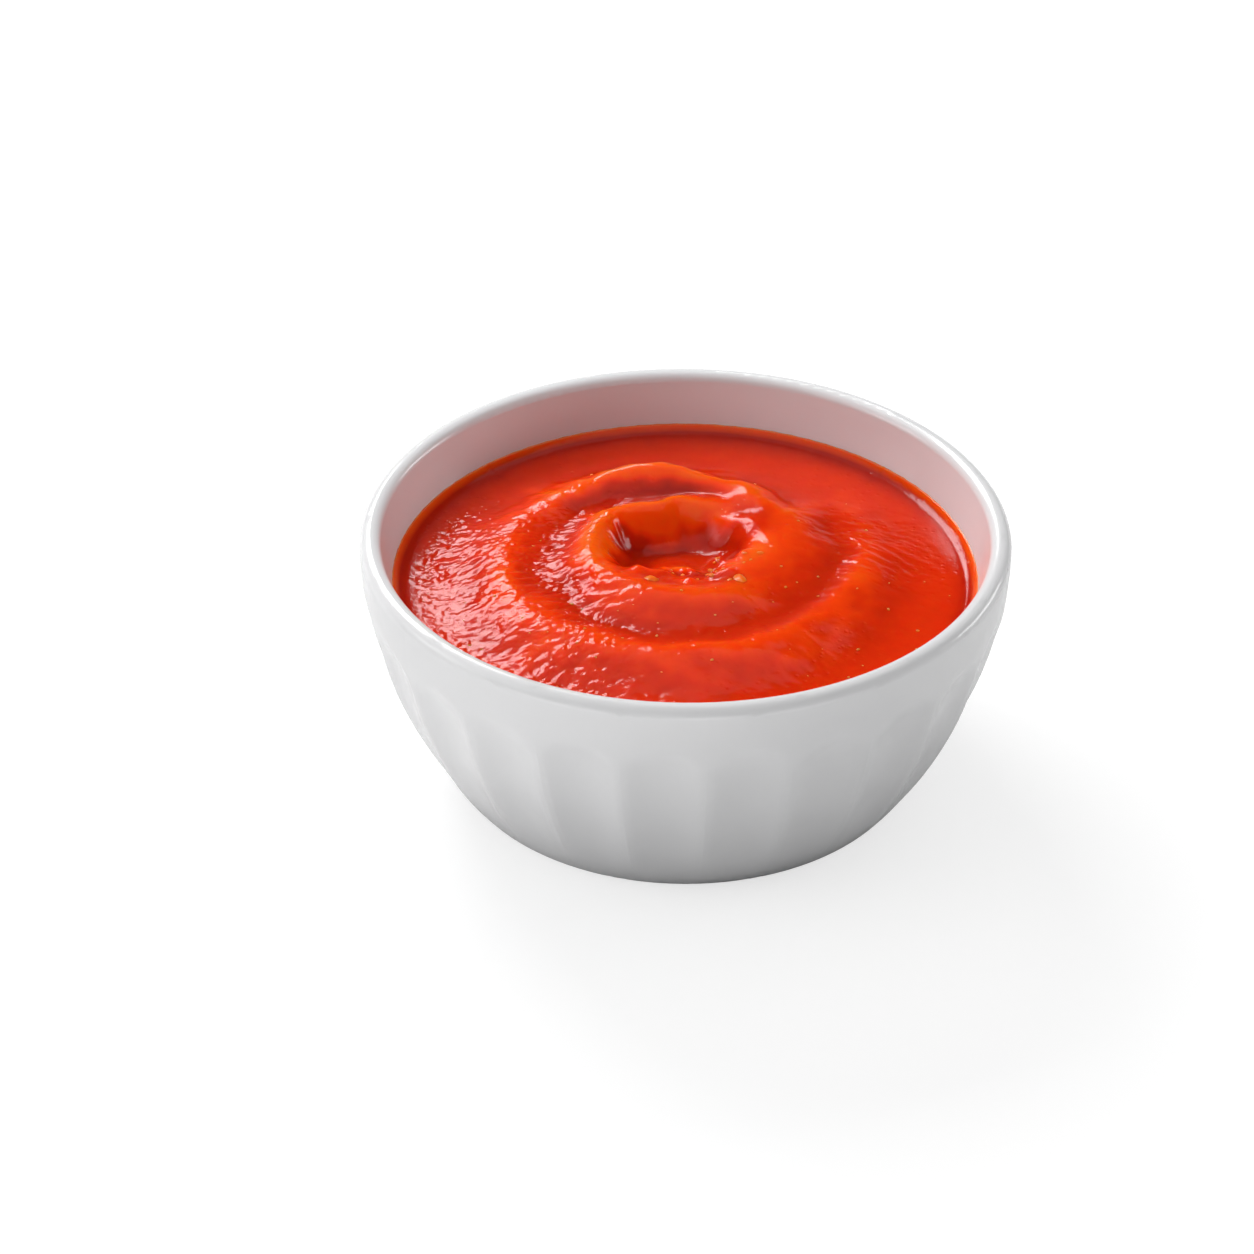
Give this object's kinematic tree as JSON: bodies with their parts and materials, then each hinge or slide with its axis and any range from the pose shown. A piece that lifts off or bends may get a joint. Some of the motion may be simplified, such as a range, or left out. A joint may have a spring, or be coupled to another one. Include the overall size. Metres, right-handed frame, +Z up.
{
  "type": "bowl of chili sauce",
  "caption": "Round white porcelain dip bowl with a fluted outside and a foot ring, filled with red chili sauce that has been swirled with a spoon.",
  "frame": {"origin": "middle of the foot ring, on the table", "axes": "+Z up through the mouth of the bowl, -Y towards the viewer, +X to the viewer's right"},
  "size_m": [0.1, 0.1, 0.0416],
  "materials": {
    "white_glaze": "smooth, bright white glaze over porcelain",
    "chili_sauce": "wet, glossy red sauce with fine pulp"
  },
  "bodies": {
    "root": {"bowl": "white_glaze", "sauce": "chili_sauce"}
  },
  "joints": []
}
